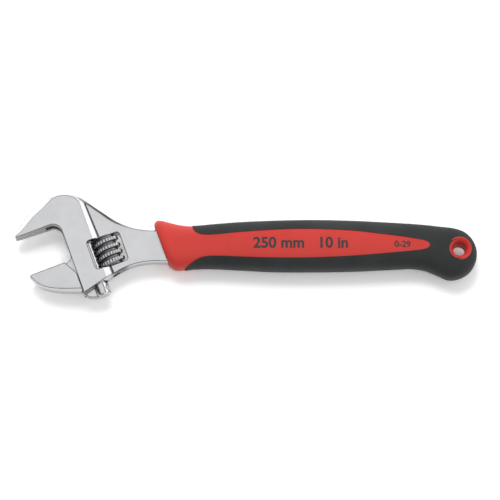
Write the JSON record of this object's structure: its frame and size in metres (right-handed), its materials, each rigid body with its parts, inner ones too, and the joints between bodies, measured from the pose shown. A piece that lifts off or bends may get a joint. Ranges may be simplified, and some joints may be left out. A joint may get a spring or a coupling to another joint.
{
  "type": "adjustable wrench",
  "caption": "Adjustable wrench with a sliding jaw driven by a knurled worm, a chrome forging and a two-material handle with a hang hole.",
  "frame": {"origin": "Middle of the underside of the bounding box, with the wrench lying flat on one face.", "axes": "+X along the handle from the jaws to the hang hole, +Y towards the fixed jaw's back, +Z square to the wrench's faces."},
  "size_m": [0.2574, 0.0596, 0.0186],
  "materials": {
    "forging": "satin chrome plate on a steel forging",
    "jaw": "satin chrome plate on a steel forging",
    "worm": "nickel-chrome plate, knurled crests",
    "pin": "turned steel",
    "spring": "spring wire",
    "red_plastic": "satin injection-moulded hard plastic",
    "black_soft_grip": "matte thermoplastic rubber",
    "red_eyelet": "satin injection-moulded hard plastic"
  },
  "bodies": {
    "wrench": {"wrench_body": "forging", "worm_pin": "pin", "worm_spring": "spring", "grip_core": "red_plastic", "grip_overmold": "black_soft_grip", "hang_hole_eyelet": "red_eyelet"},
    "worm": {"worm": "worm"},
    "jaw": {"movable_jaw": "jaw"}
  },
  "joints": [
    {"name": "worm_turn", "type": "hinge", "parent": "wrench", "child": "worm", "pos_m": [-0.07636, -0.00342, 0.0093], "axis": [-0.342, 0.9397, 0], "range_deg": [-2090, 543]},
    {"name": "jaw_slide", "type": "slide", "parent": "wrench", "child": "jaw", "axis": [0.342, -0.9397, 0], "range_m": [-0.0232, 0.00601]}
  ],
  "couplings": [
    {"joint": "worm_turn", "follows": "jaw_slide", "rad_per_m": 1570.8}
  ]
}
